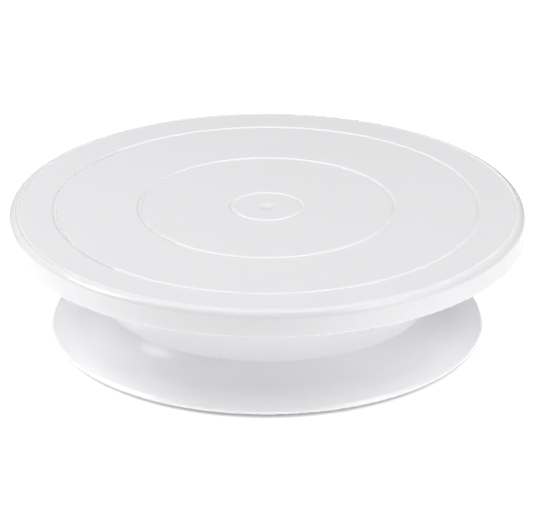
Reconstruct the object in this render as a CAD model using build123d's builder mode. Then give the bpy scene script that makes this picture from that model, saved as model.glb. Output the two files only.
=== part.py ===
"""A 28 cm cake turntable: a moulded plate on a flared base, turning on a caged ring of steel balls.

Millimetres, +Z up. The origin is on the surface that the turntable stands on, under the plate's centre.
Sections are drawn on the XZ plane as (radius, height) and revolved about Z.
"""

import math
import os

from build123d import *

# ---- driving dimensions -------------------------------------------------------------------------
PLATE_R = 140.0  # widest radius, at the bottom of the skirt
TOTAL_H = 70.0  # floor to the plate's top face
SKIRT_H = 13.5
SKIN_T = 2.8  # thickness of the plate's skin
SKIRT_T = 2.4
SKIRT_DRAFT = 0.6  # the skirt is this much narrower at the top than at the bottom
SKIRT_BAND_H = 1.5  # upright band along the skirt's lower edge
RIM_ROUND = 3.3  # rounding between the top face and the skirt
EDGE_ROUND = 0.6  # rounding of thin moulded edges
RIB_LAP = 1.0  # how far ribs and webs reach into the walls that they join

GUIDE_RING_RADII = (19.0, 69.0, 115.0)  # grooves that help to centre a cake
GUIDE_RING_HALF_W = 1.5
GUIDE_RING_DEPTH = 0.5
RIM_LINE_R = 135.3  # fine groove just inside the rounded rim
RIM_LINE_HALF_W = 0.8
RIM_LINE_DEPTH = 0.25
GATE_R = 5.0  # shallow dimple over the moulding gate
GATE_DEPTH = 0.35

BASE_R = 118.0
RIM_BOTTOM_Z = 2.0  # the moulded rim stays clear of the floor, and the rubber ring touches it
RIM_TOP_Z = 4.6
RIM_BEVEL = 1.0
FLARE_R, FLARE_Z = 106.0, 7.4  # where the hollow flare turns into the rounded rim
FLARE_SLOPE = 6.0  # degrees below level at that point
NECK_FOOT_R, NECK_FOOT_Z = 89.5, 19.5
NECK_TOP_R = 87.8
BASE_T = 2.6  # wall thickness of the base
DECK_Z = 61.4  # top of the base's deck
WELL_R, WELL_Z = 28.0, 50.0  # sunken middle of the deck, where the plate's hub sits
WELL_DRAFT = 1.0
HUB_R = 11.5  # outside of the base's centre tube
HUB_BOTTOM_Z = 29.0

BALL_R = 3.0
BALL_COUNT = 24
BALL_RING_R = 62.0  # radius of the circle that the balls' centres lie on
BALL_Z = 64.2
BALL_GAP = 0.15  # between a ball and the tracks and pockets
TRACK_HALF_W = 7.5  # half the width of the raised land that holds each track
LAND_TO_BALL = 1.6  # height between the face of a land and the balls' centres
CAGE_HALF_W = 6.0
CAGE_T = 2.4

SPINDLE_R = 5.0
SPINDLE_BOTTOM_Z = 27.9
SPINDLE_TOP_Z = 63.5
SPINDLE_HEAD_R = 7.0  # corners of the hexagonal head that is moulded into the plate
SPINDLE_HEAD_H = 5.0
BUSH_R = 7.5
BUSH_FLANGE_R = 10.5
BUSH_FLANGE_T = 1.4
RUNNING_GAP = 0.06  # between the spindle and the bush
PLATE_HUB_R = 11.0
PLATE_HUB_BOTTOM_Z = 53.0

THREAD_R = 2.5  # M5
THREAD_PITCH = 0.8
THREAD_DEPTH = 0.45
THREAD_TURNS = 13
WASHER_R = 11.0
WASHER_T = 1.5
WASHER_HOLE_R = 2.7
SLIDE_WASHER_T = 0.8
SLIDE_WASHER_HOLE_R = 5.3
TAP_RUNOUT = 2.0  # how far the tapped hole goes on past the screw's last thread
WASHER_ROUNDING = 0.2  # rounding of a washer's edges, as a share of its thickness
SCREW_HEAD_R = 4.75
SCREW_HEAD_H = 3.2
SCREW_HEAD_ROUND = 1.6
RECESS_W = 1.0  # width of the arms of the screw's cross recess
RECESS_DEPTH = 1.9
RECESS_DRAFT = 8.0  # degrees

FOOT_INNER_R, FOOT_OUTER_R = 108.0, 114.0
FOOT_GROOVE_TOP_Z = 3.8
GROOVE_WALL_T = 2.4  # wall on the groove's inner side
TREAD_R = 0.45  # half-round tread grooves in the rubber ring

# ---- places worked out from them ------------------------------------------------------------------
SKIRT_BOTTOM_Z = TOTAL_H - SKIRT_H
SKIN_BOTTOM_Z = TOTAL_H - SKIN_T
SHOULDER_R = PLATE_R - SKIRT_DRAFT
PLATE_LAND_Z = BALL_Z + LAND_TO_BALL
BASE_LAND_Z = BALL_Z - LAND_TO_BALL
DECK_BOTTOM_Z = DECK_Z - BASE_T
WELL_BOTTOM_Z = WELL_Z - BASE_T
TRACK_R = BALL_R + BALL_GAP
WASHER_Z = SPINDLE_BOTTOM_Z - WASHER_T


def save(builder, name):
    """Labels the finished piece and writes it as parts/NAME.step."""
    builder.part.label = name
    export_step(builder.part, f"parts/{name}.step")


def around(count, start=0.0):
    """Upright planes through the Z axis, evenly spaced, on which (x, y) is (radius, height)."""
    planes = []
    for i in range(count):
        angle = math.radians(start + 360.0 * i / count)
        outward = (math.cos(angle), math.sin(angle), 0)
        across = (math.sin(angle), -math.cos(angle), 0)
        planes.append(Plane(origin=(0, 0, 0), x_dir=outward, z_dir=across))
    return planes


def ring_section(inner_r, outer_r, low_z, high_z):
    """A rectangle on the current section sketch."""
    with Locations(((inner_r + outer_r) / 2, (low_z + high_z) / 2)):
        Rectangle(outer_r - inner_r, high_z - low_z)


def groove_section(centre_r, face_z, half_w, depth):
    """A circle that cuts a groove of that width and depth into a face that looks up."""
    arc_r = (half_w**2 + depth**2) / (2 * depth)
    with Locations((centre_r, face_z - depth + arc_r)):
        Circle(arc_r)


def nearest(shape_list, *places):
    """The vertex nearest to each (radius, height)."""
    return [shape_list.sort_by_distance((x, y, 0))[0] for x, y in places]


# ---- the plate ------------------------------------------------------------------------------------
PLATE_RIB_T = 1.6
PLATE_RIB_COUNT = 12
INNER_RIB_Z = 63.6  # underside of the ribs that pass over the deck
OUTER_RIB_Z = 61.0  # underside of the ribs outside the neck, next to the lip
OUTER_RIB_RISE = 1.5  # and how much higher they are at the skirt
LIP_R = 93.5  # lip that hangs round the neck and keeps crumbs out of the bearing
LIP_BOTTOM_Z = 59.5
RING_RIB_RADII = (36.0, 115.0)
GUSSET_R, GUSSET_Z = 24.0, 54.5  # reach and underside of the gussets on the hub


def plate_skin():
    """Top skin and skirt in one closed section."""
    inner_top_r = SHOULDER_R - SKIRT_T
    inner_bottom_r = PLATE_R - SKIRT_T
    outline = [
        (0, TOTAL_H),
        (SHOULDER_R, TOTAL_H),
        (PLATE_R, SKIRT_BOTTOM_Z + SKIRT_BAND_H),
        (PLATE_R, SKIRT_BOTTOM_Z),
        (inner_bottom_r, SKIRT_BOTTOM_Z),
        (inner_top_r, SKIN_BOTTOM_Z),
        (0, SKIN_BOTTOM_Z),
    ]
    with BuildSketch(Plane.XZ) as skin:
        with BuildLine():
            Polyline(*outline, close=True)
        make_face()
        fillet(nearest(skin.vertices(), outline[1]), RIM_ROUND)
        fillet(nearest(skin.vertices(), outline[3], outline[4]), EDGE_ROUND)
        fillet(nearest(skin.vertices(), outline[5]), RIM_ROUND / 2)
    revolve(skin.sketch, axis=Axis.Z)


def plate_ring_walls():
    """Hub, bearing land, ring ribs and the lip round the neck."""
    with BuildSketch(Plane.XZ) as walls:
        ring_section(0, PLATE_HUB_R, PLATE_HUB_BOTTOM_Z, SKIN_BOTTOM_Z)
        ring_section(BALL_RING_R - TRACK_HALF_W, BALL_RING_R + TRACK_HALF_W, PLATE_LAND_Z, SKIN_BOTTOM_Z)
        ring_section(LIP_R - PLATE_RIB_T / 2, LIP_R + PLATE_RIB_T / 2, LIP_BOTTOM_Z, SKIN_BOTTOM_Z)
        for radius, low in zip(RING_RIB_RADII, (INNER_RIB_Z, OUTER_RIB_Z + OUTER_RIB_RISE / 2)):
            ring_section(radius - PLATE_RIB_T / 2, radius + PLATE_RIB_T / 2, low, SKIN_BOTTOM_Z)
    revolve(walls.sketch, axis=Axis.Z)


def plate_radial_ribs():
    """Ribs from the hub to the skirt, broken by the bearing land, and gussets on the hub."""
    top = SKIN_BOTTOM_Z + RIB_LAP / 2
    skirt_r = SHOULDER_R - SKIRT_T / 2
    with BuildSketch(*around(PLATE_RIB_COUNT)) as ribs:
        ring_section(PLATE_HUB_R - RIB_LAP, BALL_RING_R - TRACK_HALF_W + RIB_LAP, INNER_RIB_Z, top)
        ring_section(BALL_RING_R + TRACK_HALF_W - RIB_LAP, LIP_R, INNER_RIB_Z, top)
        with BuildLine():
            Polyline(
                (LIP_R, top),
                (skirt_r, top),
                (skirt_r, OUTER_RIB_Z + OUTER_RIB_RISE),
                (LIP_R, OUTER_RIB_Z),
                close=True,
            )
        make_face()
    extrude(ribs.sketch, amount=PLATE_RIB_T / 2, both=True)
    with BuildSketch(*around(PLATE_RIB_COUNT // 2)) as gussets:
        with BuildLine():
            Polyline(
                (PLATE_HUB_R - RIB_LAP, top),
                (GUSSET_R, top),
                (GUSSET_R, INNER_RIB_Z),
                (PLATE_HUB_R + RIB_LAP, GUSSET_Z),
                (PLATE_HUB_R - RIB_LAP, GUSSET_Z),
                close=True,
            )
        make_face()
    extrude(gussets.sketch, amount=PLATE_RIB_T / 2, both=True)


def plate_grooves():
    """Guide rings, rim line and gate dimple in the top face, and the ball track underneath."""
    with BuildSketch(Plane.XZ) as grooves:
        for radius in GUIDE_RING_RADII:
            groove_section(radius, TOTAL_H, GUIDE_RING_HALF_W, GUIDE_RING_DEPTH)
        groove_section(RIM_LINE_R, TOTAL_H, RIM_LINE_HALF_W, RIM_LINE_DEPTH)
        with Locations((BALL_RING_R, BALL_Z)):
            Circle(TRACK_R)
    revolve(grooves.sketch, axis=Axis.Z, mode=Mode.SUBTRACT)
    gate_sphere_r = (GATE_R**2 + GATE_DEPTH**2) / (2 * GATE_DEPTH)
    with Locations((0, 0, TOTAL_H - GATE_DEPTH + gate_sphere_r)):
        Sphere(gate_sphere_r, mode=Mode.SUBTRACT)


def make_top_plate(spindle):
    with BuildPart() as plate:
        plate_skin()
        plate_ring_walls()
        plate_radial_ribs()
        plate_grooves()
        add(spindle.part, mode=Mode.SUBTRACT)
    save(plate, "top_plate")


# ---- the base -------------------------------------------------------------------------------------
BASE_RIB_T = 1.8
BASE_RIB_COUNT = 8
WEB_NECK_H = 6.0  # height of a web where it meets the neck
WEB_HUB_LIFT = 5.0  # how far the webs stop above the bottom of the centre tube
FLARE_GUSSET_COUNT = 24
FLARE_GUSSET_LAP = 0.8  # how far a gusset reaches into the wall above it
FLARE_GUSSET_H = 9.0


def flare_tangent(direction):
    """Direction of the section where the flare meets the rim: 1 goes outwards, -1 goes inwards."""
    slope = math.radians(FLARE_SLOPE)
    return (direction * math.cos(slope), -direction * math.sin(slope))


def inner_flare_ends():
    """Ends of the hidden side of the flare, at the neck and at the rim."""
    return (NECK_FOOT_R - BASE_T, NECK_FOOT_Z - BASE_T / 2), (FOOT_INNER_R - GROOVE_WALL_T, FLARE_Z - BASE_T)


def base_outside():
    """The side of the section that shows: deck, neck, flare and rounded rim, from the well outwards."""
    land_in, land_out = BALL_RING_R - TRACK_HALF_W, BALL_RING_R + TRACK_HALF_W
    Polyline(
        (BUSH_R, WELL_Z),
        (WELL_R - WELL_DRAFT, WELL_Z),
        (WELL_R, DECK_Z),
        (land_in, DECK_Z),
        (land_in, BASE_LAND_Z),
        (land_out, BASE_LAND_Z),
        (land_out, DECK_Z),
        (NECK_TOP_R, DECK_Z),
        (NECK_FOOT_R, NECK_FOOT_Z),
    )
    TangentArc((FLARE_R, FLARE_Z), (NECK_FOOT_R, NECK_FOOT_Z), tangent=flare_tangent(-1))
    TangentArc((FLARE_R, FLARE_Z), (BASE_R - RIM_BEVEL, RIM_TOP_Z), tangent=flare_tangent(1))
    Polyline((BASE_R - RIM_BEVEL, RIM_TOP_Z), (BASE_R, RIM_TOP_Z - RIM_BEVEL), (BASE_R, RIM_BOTTOM_Z))


def base_inside():
    """The hidden side of the section, from the rim with its groove back to the centre tube."""
    neck_in, flare_in = inner_flare_ends()
    Polyline(
        (BASE_R, RIM_BOTTOM_Z),
        (FOOT_OUTER_R, RIM_BOTTOM_Z),
        (FOOT_OUTER_R, FOOT_GROOVE_TOP_Z),
        (FOOT_INNER_R, FOOT_GROOVE_TOP_Z),
        (FOOT_INNER_R, RIM_BOTTOM_Z),
        (flare_in[0], RIM_BOTTOM_Z),
        flare_in,
    )
    TangentArc(flare_in, neck_in, tangent=flare_tangent(-1))
    Polyline(
        neck_in,
        (NECK_TOP_R - BASE_T, DECK_BOTTOM_Z),
        (WELL_R + BASE_T, DECK_BOTTOM_Z),
        (WELL_R + BASE_T - WELL_DRAFT, WELL_BOTTOM_Z),
        (HUB_R, WELL_BOTTOM_Z),
        (HUB_R, HUB_BOTTOM_Z),
        (BUSH_R, HUB_BOTTOM_Z),
        (BUSH_R, WELL_Z),
    )


def base_wall():
    with BuildSketch(Plane.XZ) as wall:
        with BuildLine():
            base_outside()
            base_inside()
        make_face()
        fillet(nearest(wall.vertices(), (NECK_TOP_R, DECK_Z)), BASE_T)
        fillet(nearest(wall.vertices(), (BASE_R, RIM_TOP_Z - RIM_BEVEL), (BASE_R, RIM_BOTTOM_Z)), EDGE_ROUND)
        fillet(nearest(wall.vertices(), (NECK_FOOT_R, NECK_FOOT_Z)), EDGE_ROUND)
        with Locations((BALL_RING_R, BALL_Z)):
            Circle(TRACK_R, mode=Mode.SUBTRACT)
    revolve(wall.sketch, axis=Axis.Z)


def base_ribs():
    """Webs under the deck, and small gussets under the flare."""
    neck_r = NECK_TOP_R - BASE_T / 2
    with BuildSketch(*around(BASE_RIB_COUNT, 360.0 / BASE_RIB_COUNT / 2)) as webs:
        with BuildLine():
            Polyline(
                (HUB_R - RIB_LAP, WELL_BOTTOM_Z + RIB_LAP),
                (WELL_R, WELL_BOTTOM_Z + RIB_LAP),
                (WELL_R + BASE_T / 2, DECK_BOTTOM_Z + RIB_LAP),
                (neck_r, DECK_BOTTOM_Z + RIB_LAP),
                (neck_r, DECK_BOTTOM_Z - WEB_NECK_H),
                (HUB_R, HUB_BOTTOM_Z + WEB_HUB_LIFT),
                (HUB_R - RIB_LAP, HUB_BOTTOM_Z + WEB_HUB_LIFT),
                close=True,
            )
        make_face()
    extrude(webs.sketch, amount=BASE_RIB_T / 2, both=True)
    neck_in, flare_in = inner_flare_ends()
    lapped_neck = (neck_in[0] + FLARE_GUSSET_LAP, neck_in[1] + FLARE_GUSSET_LAP)
    lapped_flare = (flare_in[0] + FLARE_GUSSET_LAP, flare_in[1] + FLARE_GUSSET_LAP)
    with BuildSketch(*around(FLARE_GUSSET_COUNT, 360.0 / FLARE_GUSSET_COUNT / 2)) as gussets:
        with BuildLine():
            TangentArc(lapped_flare, lapped_neck, tangent=flare_tangent(-1))
            Polyline(
                lapped_neck,
                (lapped_neck[0], neck_in[1] - FLARE_GUSSET_H),
                (lapped_flare[0], RIM_BOTTOM_Z),
                lapped_flare,
            )
        make_face()
    extrude(gussets.sketch, amount=BASE_RIB_T / 2, both=True)


def make_base_shell():
    with BuildPart() as base:
        base_wall()
        base_ribs()
    save(base, "base_shell")


# ---- the bearing ----------------------------------------------------------------------------------
CAGE_WINDOW_R = 1.6  # round windows between the pockets


def make_ball_cage():
    """Flat ring with a spherical pocket for each ball. The pockets' mouths are narrower than a ball."""
    step = 360.0 / BALL_COUNT
    low_z, high_z = BALL_Z - CAGE_T / 2, BALL_Z + CAGE_T / 2
    with BuildPart() as cage:
        with BuildSketch(Plane.XZ) as ring:
            ring_section(BALL_RING_R - CAGE_HALF_W, BALL_RING_R + CAGE_HALF_W, low_z, high_z)
            fillet(ring.vertices(), EDGE_ROUND)
        revolve(axis=Axis.Z)
        with Locations((0, 0, BALL_Z)), PolarLocations(BALL_RING_R, BALL_COUNT):
            Sphere(TRACK_R, mode=Mode.SUBTRACT)
        with Locations((0, 0, BALL_Z)), PolarLocations(BALL_RING_R, BALL_COUNT, start_angle=step / 2):
            Cylinder(CAGE_WINDOW_R, CAGE_T, mode=Mode.SUBTRACT)
    save(cage, "ball_cage")


def make_balls():
    for i in range(BALL_COUNT):
        angle = math.radians(360.0 * i / BALL_COUNT)
        with BuildPart() as ball:
            with Locations((BALL_RING_R * math.cos(angle), BALL_RING_R * math.sin(angle), BALL_Z)):
                Sphere(BALL_R)
        save(ball, f"ball_{i + 1:02d}")


# ---- the centre -----------------------------------------------------------------------------------
def make_spindle():
    """Steel spindle. Its hexagonal head is moulded into the plate, and its lower end is tapped.

    The solid spindle, without the tapped hole, is handed back to cut the plate's pocket with.
    """
    head_z = SPINDLE_TOP_Z - SPINDLE_HEAD_H
    tapped_h = THREAD_PITCH * THREAD_TURNS + TAP_RUNOUT
    with BuildPart() as spindle:
        with BuildSketch(Plane.XY.offset(SPINDLE_BOTTOM_Z)):
            Circle(SPINDLE_R)
        extrude(amount=SPINDLE_TOP_Z - SPINDLE_BOTTOM_Z)
        chamfer(spindle.edges().group_by(Axis.Z)[0], EDGE_ROUND)
        with BuildSketch(Plane.XY.offset(head_z)):
            RegularPolygon(SPINDLE_HEAD_R, 6)
        extrude(amount=SPINDLE_HEAD_H)
    with BuildPart() as tapped:
        add(spindle.part)
        with BuildSketch(Plane.XY.offset(SPINDLE_BOTTOM_Z)):
            Circle(THREAD_R)
        extrude(amount=tapped_h, mode=Mode.SUBTRACT)
    save(tapped, "spindle")
    return spindle


def make_centre_bush():
    """Flanged sleeve that is pressed into the base's centre tube."""
    bore_r = SPINDLE_R + RUNNING_GAP
    flange_top_z = WELL_Z + BUSH_FLANGE_T
    with BuildPart() as bush:
        with BuildSketch(Plane.XZ) as sleeve:
            ring_section(bore_r, BUSH_R, HUB_BOTTOM_Z, flange_top_z)
            ring_section(bore_r, BUSH_FLANGE_R, WELL_Z, flange_top_z)
            fillet(nearest(sleeve.vertices(), (BUSH_FLANGE_R, flange_top_z)), EDGE_ROUND)
        revolve(axis=Axis.Z)
    save(bush, "centre_bush")


def make_washer(name, low_z, thickness, hole_r):
    rounding = thickness * WASHER_ROUNDING
    with BuildPart() as washer:
        with BuildSketch(Plane.XY.offset(low_z)):
            Circle(WASHER_R)
            Circle(hole_r, mode=Mode.SUBTRACT)
        extrude(amount=thickness)
        fillet(washer.edges().filter_by(GeomType.CIRCLE).group_by(SortBy.RADIUS)[-1], rounding)
    save(washer, name)


def thread_outline():
    """The screw's half section: crests and roots at each pitch, going up from the head."""
    points = [(0, WASHER_Z), (THREAD_R - THREAD_DEPTH, WASHER_Z)]
    start = WASHER_Z + WASHER_T
    for turn in range(THREAD_TURNS):
        low = start + turn * THREAD_PITCH
        points += [(THREAD_R - THREAD_DEPTH, low), (THREAD_R, low + THREAD_PITCH / 2)]
    end = start + THREAD_TURNS * THREAD_PITCH
    tip = end + THREAD_PITCH
    points += [(THREAD_R - THREAD_DEPTH, end), (THREAD_R - 2 * THREAD_DEPTH, tip), (0, tip)]
    return points


def make_retaining_screw():
    """M5 pan-head screw with a cross recess, driven up into the spindle."""
    with BuildPart() as screw:
        with BuildSketch(Plane.XZ):
            with BuildLine():
                Polyline(*thread_outline(), close=True)
            make_face()
        revolve(axis=Axis.Z)
        with BuildSketch(Plane.XY.offset(WASHER_Z - SCREW_HEAD_H)):
            Circle(SCREW_HEAD_R)
        extrude(amount=SCREW_HEAD_H)
        fillet(screw.edges().group_by(Axis.Z)[0], SCREW_HEAD_ROUND)
        with BuildSketch(Plane.XY.offset(WASHER_Z - SCREW_HEAD_H)):
            Rectangle(SCREW_HEAD_R, RECESS_W)
            Rectangle(RECESS_W, SCREW_HEAD_R)
        extrude(amount=RECESS_DEPTH, taper=RECESS_DRAFT, mode=Mode.SUBTRACT)
    save(screw, "retaining_screw")


# ---- the foot -------------------------------------------------------------------------------------
def make_foot_ring():
    """Rubber ring in the groove under the rim. It holds the turntable just off the floor."""
    width = FOOT_OUTER_R - FOOT_INNER_R
    with BuildPart() as foot:
        with BuildSketch(Plane.XZ) as ring:
            ring_section(FOOT_INNER_R, FOOT_OUTER_R, 0, FOOT_GROOVE_TOP_Z)
            fillet(nearest(ring.vertices(), (FOOT_INNER_R, 0), (FOOT_OUTER_R, 0)), EDGE_ROUND)
            with Locations((FOOT_INNER_R + width / 3, 0), (FOOT_OUTER_R - width / 3, 0)):
                Circle(TREAD_R, mode=Mode.SUBTRACT)
        revolve(axis=Axis.Z)
    save(foot, "foot_ring")


os.makedirs("parts", exist_ok=True)
make_top_plate(make_spindle())
make_base_shell()
make_ball_cage()
make_balls()
make_centre_bush()
make_washer("retaining_washer", WASHER_Z, WASHER_T, WASHER_HOLE_R)
make_washer("slide_washer", SPINDLE_BOTTOM_Z, SLIDE_WASHER_T, SLIDE_WASHER_HOLE_R)
make_retaining_screw()
make_foot_ring()
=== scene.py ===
import math

import bmesh
import bpy
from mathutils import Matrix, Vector


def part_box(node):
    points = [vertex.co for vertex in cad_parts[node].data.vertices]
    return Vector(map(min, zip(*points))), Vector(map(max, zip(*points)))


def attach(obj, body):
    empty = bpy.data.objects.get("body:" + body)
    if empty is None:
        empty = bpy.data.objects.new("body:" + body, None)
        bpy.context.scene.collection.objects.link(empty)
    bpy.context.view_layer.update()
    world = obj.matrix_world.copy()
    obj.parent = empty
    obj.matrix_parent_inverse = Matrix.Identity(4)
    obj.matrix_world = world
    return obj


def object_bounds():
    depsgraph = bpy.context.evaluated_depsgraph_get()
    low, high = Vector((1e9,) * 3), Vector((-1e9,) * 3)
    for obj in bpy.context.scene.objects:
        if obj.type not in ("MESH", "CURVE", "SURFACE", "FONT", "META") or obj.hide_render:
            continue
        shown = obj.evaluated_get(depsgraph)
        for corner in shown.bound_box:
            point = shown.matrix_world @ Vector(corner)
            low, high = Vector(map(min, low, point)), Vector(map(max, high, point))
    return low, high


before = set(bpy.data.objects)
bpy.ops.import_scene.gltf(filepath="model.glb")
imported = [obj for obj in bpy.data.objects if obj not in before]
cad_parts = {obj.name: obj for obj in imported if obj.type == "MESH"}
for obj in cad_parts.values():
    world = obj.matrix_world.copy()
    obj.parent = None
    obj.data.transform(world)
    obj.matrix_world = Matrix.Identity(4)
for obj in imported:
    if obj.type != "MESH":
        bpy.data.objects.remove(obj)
cad_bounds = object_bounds()

MM = 0.001
# a Mix node has sockets for several kinds of value under one name, so its colour sockets go by number
RESULT, FIRST, SECOND = 2, 6, 7
NOISE_LOW, NOISE_HIGH = 0.3, 0.7  # the part of the range from 0 to 1 where most of a noise lies
WAVES_PER_SCALE = 20.0  # phase of a wave texture at one unit from its middle, when its scale is 1


# ---- materials --------------------------------------------------------------------------------------
class Finish:
    """A material under construction, with short calls that add and join nodes."""

    def __init__(self, name, **sockets):
        self.material = bpy.data.materials.new(name)
        self.material.use_nodes = True
        self.tree = self.material.node_tree
        self.bsdf = self.tree.nodes["Principled BSDF"]
        self.normal = None
        self.place = self.node("ShaderNodeTexCoord").outputs["Object"]
        for key, value in sockets.items():
            self.bsdf.inputs[key.replace("_", " ")].default_value = value

    def node(self, kind, **inputs):
        made = self.tree.nodes.new(kind)
        for key, value in inputs.items():
            made.inputs[key.replace("_", " ")].default_value = value
        return made

    def link(self, source, target):
        self.tree.links.new(source, target)

    def noise(self, scale, detail=2.0, stretch=(1, 1, 1), roughness=0.5):
        """Cloudy noise. The scale is in cells per metre, and stretch packs them closer along an axis."""
        mapping = self.node("ShaderNodeMapping", Scale=stretch)
        self.link(self.place, mapping.inputs["Vector"])
        cloud = self.node("ShaderNodeTexNoise", Scale=scale, Detail=detail, Roughness=roughness)
        self.link(mapping.outputs["Vector"], cloud.inputs["Vector"])
        return cloud.outputs["Fac"]

    def turned(self, pitch, wobble=0.0):
        """Fine rings about the Z axis, as turning leaves them, that far apart in metres."""
        rings = self.node("ShaderNodeTexWave", Distortion=wobble)
        rings.inputs["Scale"].default_value = math.tau / (WAVES_PER_SCALE * pitch)
        rings.wave_type = "RINGS"
        rings.rings_direction = "Z"
        self.link(self.place, rings.inputs["Vector"])
        return rings.outputs["Fac"]

    def colours(self, factor, first, second):
        """The base colour goes from the first to the second with the factor."""
        mix = self.node("ShaderNodeMix")
        mix.data_type = "RGBA"
        mix.inputs[FIRST].default_value = (*first, 1)
        mix.inputs[SECOND].default_value = (*second, 1)
        self.link(factor, mix.inputs[0])
        self.link(mix.outputs[RESULT], self.bsdf.inputs["Base Color"])

    def gloss(self, factor, low, high):
        """Roughness goes from low to high over the part of the range where most of a noise lies."""
        spread = self.node("ShaderNodeMapRange", To_Min=low, To_Max=high)
        spread.inputs["From Min"].default_value = NOISE_LOW
        spread.inputs["From Max"].default_value = NOISE_HIGH
        self.link(factor, spread.inputs["Value"])
        self.link(spread.outputs["Result"], self.bsdf.inputs["Roughness"])

    def relief(self, height, depth):
        """Adds a bump that is depth metres deep."""
        bump = self.node("ShaderNodeBump", Strength=1.0, Distance=depth)
        self.link(height, bump.inputs["Height"])
        if self.normal:
            self.link(self.normal, bump.inputs["Normal"])
        self.normal = bump.outputs["Normal"]
        self.link(self.normal, self.bsdf.inputs["Normal"])


def satin_plastic(name, colour, shade):
    """Injection-moulded plastic with faint flow clouds, a slow sink waviness and a fine skin."""
    s = Finish(name, IOR=1.5)
    s.colours(s.noise(14.0, 3.0), colour, shade)
    s.gloss(s.noise(45.0, 3.0), 0.17, 0.25)
    s.relief(s.noise(30.0), 0.02 * MM)
    s.relief(s.noise(420.0, 1.0), 0.002 * MM)
    return s.material


def nylon(name, colour, shade, pitch):
    """Natural nylon or acetal that has been turned: waxy, a little cloudy, with close rings."""
    s = Finish(name, IOR=1.53)
    s.colours(s.noise(180.0, 4.0), colour, shade)
    s.gloss(s.noise(300.0), 0.36, 0.50)
    s.relief(s.turned(pitch, 0.6), 0.004 * MM)
    s.relief(s.noise(900.0), 0.004 * MM)
    return s.material


def turned_steel(name, colour, shade, pitch):
    """Zinc-plated steel with turning rings and a slightly mottled plating."""
    s = Finish(name, Metallic=1.0)
    s.colours(s.noise(240.0, 4.0), colour, shade)
    s.gloss(s.noise(600.0, 3.0), 0.29, 0.43)
    s.relief(s.turned(pitch, 0.3), 0.006 * MM)
    s.relief(s.noise(1500.0), 0.003 * MM)
    return s.material


def ball_steel():
    """Polished bearing steel with hairline scratches and slight smears of oil."""
    s = Finish("ball_steel", Metallic=1.0)
    s.colours(s.noise(400.0, 3.0), (0.70, 0.71, 0.72), (0.62, 0.62, 0.63))
    s.gloss(s.noise(700.0, 3.0), 0.07, 0.17)
    s.relief(s.noise(500.0, 3.0, (1, 1, 14)), 0.0012 * MM)
    return s.material


def foot_rubber():
    """Dark grey rubber: matt, grained, with a little pale dust in the grain."""
    s = Finish("foot_rubber", IOR=1.5)
    s.colours(s.noise(260.0, 5.0, roughness=0.65), (0.040, 0.041, 0.044), (0.075, 0.076, 0.080))
    s.gloss(s.noise(500.0, 3.0), 0.68, 0.88)
    s.relief(s.noise(1300.0, 3.0), 0.03 * MM)
    return s.material


def paint(material, *nodes):
    for node in nodes:
        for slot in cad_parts[node].material_slots:
            slot.material = material


plate_white = satin_plastic("plate_white", (0.92, 0.92, 0.935), (0.905, 0.905, 0.92))
base_white = satin_plastic("base_white", (0.92, 0.92, 0.935), (0.905, 0.905, 0.92))
paint(plate_white, "top_plate")
paint(base_white, "base_shell")
paint(nylon("bush_acetal", (0.80, 0.78, 0.72), (0.74, 0.72, 0.66), 0.5 * MM), "centre_bush")
paint(nylon("cage_nylon", (0.70, 0.71, 0.70), (0.62, 0.63, 0.62), 0.8 * MM), "ball_cage")
paint(nylon("washer_nylon", (0.78, 0.74, 0.64), (0.72, 0.68, 0.58), 0.4 * MM), "slide_washer")
paint(turned_steel("spindle_steel", (0.62, 0.62, 0.61), (0.52, 0.52, 0.51), 0.3 * MM), "spindle")
paint(turned_steel("washer_steel", (0.66, 0.66, 0.65), (0.55, 0.55, 0.56), 0.5 * MM), "retaining_washer")
paint(turned_steel("screw_steel", (0.64, 0.63, 0.60), (0.54, 0.53, 0.50), 0.25 * MM), "retaining_screw")
paint(foot_rubber(), "foot_ring")
balls = [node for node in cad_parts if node.startswith("ball_") and node != "ball_cage"]
paint(ball_steel(), *balls)


# ---- moulding marks ---------------------------------------------------------------------------------
def add_piece(name, build, body, material):
    """A mesh piece that rides on a CAD body. The build function fills its bmesh."""
    mesh = bpy.data.meshes.new(name)
    bm = bmesh.new()
    build(bm)
    bmesh.ops.recalc_face_normals(bm, faces=bm.faces)
    for face in bm.faces:
        face.smooth = True
    bm.to_mesh(mesh)
    bm.free()
    mesh.materials.append(material)
    piece = bpy.data.objects.new(name, mesh)
    bpy.context.scene.collection.objects.link(piece)
    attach(piece, body)


def loft(bm, sections, looped=False):
    """Skins a row of closed sections of points. It joins the last to the first, or closes both ends."""
    rows = [[bm.verts.new(point) for point in section] for section in sections]
    count = len(rows[0])
    for low, high in zip(rows, rows[1:] + rows[:1] if looped else rows[1:]):
        for i in range(count):
            j = (i + 1) % count
            bm.faces.new((low[i], low[j], high[j], high[i]))
    if not looped:
        bm.faces.new(list(reversed(rows[0])))
        bm.faces.new(rows[-1])


def outside_radius(node, azimuth, height):
    """Radius of a node's outer face there, or None where a ray to the axis misses it."""
    outward = Vector((math.cos(azimuth), math.sin(azimuth), 0))
    start = outward * cad_bounds[1][0] * 2 + Vector((0, 0, height))
    hit, point, _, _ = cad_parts[node].ray_cast(start, -outward)
    return math.hypot(point.x, point.y) if hit else None


SEAM_HALF_W = 0.28 * MM
SEAM_PROUD = 0.06 * MM
SEAM_STEPS = 36
SEAM_NECK_DRAFT = 1.2 * MM  # the seam ends where the face leaves the neck's radius by more than this
SEAM_SECTION = ((-1.0, -1.0), (-1.0, 0.0), (-0.5, 0.8), (0.0, 1.0), (0.5, 0.8), (1.0, 0.0), (1.0, -1.0))
SEAM_AZIMUTH = math.radians(-105.7)  # the mould for the neck opens along the line square to this


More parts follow.
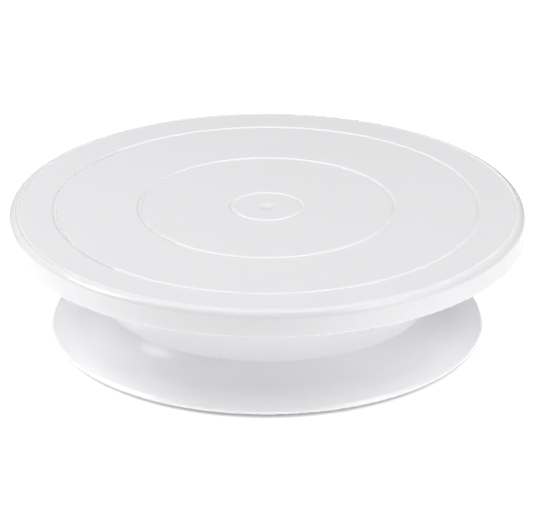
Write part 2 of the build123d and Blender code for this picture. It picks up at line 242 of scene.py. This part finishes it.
def neck_seam(azimuth):
    """Fine raised line where the halves of the neck's mould met, from the flare up to the deck."""

    def build(bm):
        low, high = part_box("base_shell")
        neck_r = outside_radius("base_shell", azimuth, (low[2] + high[2]) / 2)
        outward = Vector((math.cos(azimuth), math.sin(azimuth), 0))
        across = Vector((-math.sin(azimuth), math.cos(azimuth), 0))
        rings = []
        for step in range(SEAM_STEPS + 1):
            z = low[2] + (high[2] - low[2]) * step / SEAM_STEPS
            radius = outside_radius("base_shell", azimuth, z)
            if radius is None or abs(radius - neck_r) > SEAM_NECK_DRAFT:
                continue
            foot = outward * radius + Vector((0, 0, z))
            aside, proud = across * SEAM_HALF_W, outward * SEAM_PROUD
            rings.append([foot + aside * u + proud * v for u, v in SEAM_SECTION])
        loft(bm, rings)

    return build


def lathe(bm, profile, centre, steps):
    """Revolves a closed profile of (radius, height) about an upright line."""
    sections = []
    for i in range(steps):
        turn = math.tau * i / steps
        out = Vector((math.cos(turn), math.sin(turn), 0))
        sections.append([centre + out * radius + Vector((0, 0, height)) for radius, height in profile])
    loft(bm, sections, looped=True)


PIN_R = 2.6 * MM
PIN_LINE_HALF_W = 0.16 * MM
PIN_LINE_H = 0.12 * MM
PIN_STEPS = 32
PLATE_PINS_R, PLATE_PINS = 104 * MM, 12  # between the plate's ribs
BASE_PINS_R, BASE_PINS = 62 * MM, 8  # between the base's webs


def pin_marks(node, radius, count, start):
    """Raised rings that ejector pins leave on a face that looks down, spaced evenly round the axis."""

    def build(bm):
        for i in range(count):
            azimuth = start + math.tau * i / count
            spot = Vector((radius * math.cos(azimuth), radius * math.sin(azimuth), 0))
            hit, point, _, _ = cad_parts[node].ray_cast(spot, Vector((0, 0, 1)))
            if not hit:
                continue
            low, high = PIN_R - PIN_LINE_HALF_W, PIN_R + PIN_LINE_HALF_W
            profile = ((low, PIN_LINE_H), (low, 0), (PIN_R, -PIN_LINE_H), (high, 0), (high, PIN_LINE_H))
            lathe(bm, profile, point, PIN_STEPS)

    return build


NIB_STEPS = 40
# radius and height in millimetres
NIB_PROFILE = ((0.02, -0.15), (1.0, -0.15), (0.96, 0.04), (0.80, 0.11), (0.45, 0.15), (0.02, 0.13))


def gate_nib(bm):
    """Stub that is left where the sprue was cut, in the dimple in the middle of the top face."""
    above = Vector((0, 0, cad_bounds[1][2] + MM))
    _, floor, _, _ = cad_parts["top_plate"].ray_cast(above, Vector((0, 0, -1)))
    lathe(bm, [(radius * MM, height * MM) for radius, height in NIB_PROFILE], floor, NIB_STEPS)


for side, turn in (("front", 0.0), ("back", math.pi)):
    add_piece(f"neck_seam_{side}", neck_seam(SEAM_AZIMUTH + turn), "base", base_white)
plate_pins = pin_marks("top_plate", PLATE_PINS_R, PLATE_PINS, math.pi / PLATE_PINS)
base_pins = pin_marks("base_shell", BASE_PINS_R, BASE_PINS, 0.0)
add_piece("plate_pin_marks", plate_pins, "plate", plate_white)
add_piece("base_pin_marks", base_pins, "base", base_white)
add_piece("gate_nib", gate_nib, "plate", plate_white)

# ---- floor, light and camera ------------------------------------------------------------------------
FLOOR_R = 1.0
FLOOR_SIDES = 96
LIGHT_SHEET_DROP = 0.1 * MM  # how far the sheet that lights the object lies under the one that shows
# the floor glows as a light table does, with these strengths at these radii, so it stays white; the
# sheet the camera sees glows less close round the base, which is a painted contact shadow
GLOW_RADII = (0.116, 0.124, 0.16, 0.34)
# the low strengths at the smallest radii, just round the base's rim, paint a contact shadow on the floor
# the camera sees
GLOW_SHOWN_PAINTED_SHADOW = (0.20, 0.80, 0.90, 1.00)
GLOW_LIGHTING = (0.20, 0.78, 0.78, 0.00)
LIGHT_AIM = Vector((0, 0, 0.05))
# azimuth (right is positive) and elevation in degrees, distance and side in metres, and strength
LIGHTS = (
    (-90, 42, 1.1, 0.44, 0.58),
    (60, 30, 1.1, 0.99, 0.45),
    (-80, 28, 1.1, 0.44, 0.39),
    (0, 30, 1.1, 0.99, 0.30),
    (60, 42, 1.1, 0.44, 0.29),
    (90, 62, 0.7, 0.63, 0.27),
    (180, 62, 0.7, 0.63, 0.30),
    (-90, 62, 0.7, 0.63, 0.15),
    (120, 30, 1.1, 0.99, 0.08),
    (-120, 30, 1.1, 0.99, 0.08),
    (135, 50, 1.1, 0.99, 0.08),
    (90, 42, 1.1, 0.44, 0.06),
)
WATTS_AT_1_M = 5.8  # of a softbox of strength 1

CAMERA_PLACE = (-0.0003195, -2.00609, 0.92127)
CAMERA_TILT = math.radians(90 - 23.84)
CAMERA_LENS = 271.8


def floor_sheet(name, height):
    """A round sheet that faces up. It is stage, so it is left out of the object."""
    mesh = bpy.data.meshes.new(name)
    bm = bmesh.new()
    bmesh.ops.create_circle(bm, cap_ends=True, segments=FLOOR_SIDES, radius=FLOOR_R)
    bm.to_mesh(mesh)
    bm.free()
    sheet = bpy.data.objects.new(name, mesh)
    sheet.location.z = height
    bpy.context.scene.collection.objects.link(sheet)
    return sheet


def glowing_paper(name, strengths):
    """White paper that glows with those strengths at GLOW_RADII. Its back is clear."""
    s = Finish(name, Roughness=0.6, Emission_Color=(1, 1, 1, 1))
    s.colours(s.noise(3.0), (0.86, 0.86, 0.86), (0.85, 0.85, 0.85))
    distance = s.node("ShaderNodeVectorMath")
    distance.operation = "LENGTH"
    s.link(s.place, distance.inputs[0])
    along = s.node("ShaderNodeMapRange", From_Max=GLOW_RADII[-1])
    s.link(distance.outputs["Value"], along.inputs["Value"])
    glow = s.node("ShaderNodeValToRGB")
    stops = glow.color_ramp.elements
    for radius in GLOW_RADII[1:-1]:
        stops.new(radius / GLOW_RADII[-1])
    stops[0].position = GLOW_RADII[0] / GLOW_RADII[-1]
    for stop, strength in zip(stops, strengths):
        stop.color = (strength, strength, strength, 1)
    s.link(along.outputs["Result"], glow.inputs["Fac"])
    s.link(glow.outputs["Color"], s.bsdf.inputs["Emission Strength"])
    clear_back = s.node("ShaderNodeMixShader")
    s.link(s.node("ShaderNodeNewGeometry").outputs["Backfacing"], clear_back.inputs[0])
    s.link(s.bsdf.outputs["BSDF"], clear_back.inputs[1])
    s.link(s.node("ShaderNodeBsdfTransparent").outputs["BSDF"], clear_back.inputs[2])
    s.link(clear_back.outputs["Shader"], s.tree.nodes["Material Output"].inputs["Surface"])
    return s.material


def make_floor():
    """The camera sees one sheet, white but for a soft contact shadow, partly real shade and partly
    painted shadow from its dimmer glow near the base. The other lights the object.
    """
    shown = floor_sheet("floor", 0.0)
    shown.data.materials.append(glowing_paper("floor_white", GLOW_SHOWN_PAINTED_SHADOW))
    lighting = floor_sheet("floor_light", -LIGHT_SHEET_DROP)
    lighting.data.materials.append(glowing_paper("floor_light", GLOW_LIGHTING))
    lighting.visible_camera = False
    for ray in ("diffuse", "glossy", "transmission", "shadow"):
        setattr(shown, f"visible_{ray}", False)


def make_light(azimuth, elevation, distance, side, strength):
    data = bpy.data.lights.new("softbox", "AREA")
    data.size = side
    data.energy = WATTS_AT_1_M * distance**2 * strength
    lamp = bpy.data.objects.new("softbox", data)
    bpy.context.scene.collection.objects.link(lamp)
    a, e = math.radians(azimuth), math.radians(elevation)
    away = Vector((math.sin(a) * math.cos(e), -math.cos(a) * math.cos(e), math.sin(e)))
    lamp.location = LIGHT_AIM + away * distance
    lamp.rotation_euler = (-away).to_track_quat("-Z", "Y").to_euler()
    lamp.visible_camera = False


def make_backdrop():
    """A white surround that only the camera sees, so that low views have no dark horizon."""
    world = bpy.data.worlds.new("studio")
    bpy.context.scene.world = world
    world.use_nodes = True
    world.node_tree.nodes["Background"].inputs["Color"].default_value = (1, 1, 1, 1)
    for ray in ("diffuse", "glossy", "transmission", "scatter"):
        setattr(world.cycles_visibility, ray, False)


def make_camera():
    data = bpy.data.cameras.new("camera")
    data.lens = CAMERA_LENS
    camera = bpy.data.objects.new("camera", data)
    bpy.context.scene.collection.objects.link(camera)
    camera.location = CAMERA_PLACE
    camera.rotation_euler = (CAMERA_TILT, 0, 0)
    bpy.context.scene.camera = camera


make_floor()
make_backdrop()
for light in LIGHTS:
    make_light(*light)
make_camera()
bpy.context.scene.view_settings.view_transform = "Standard"
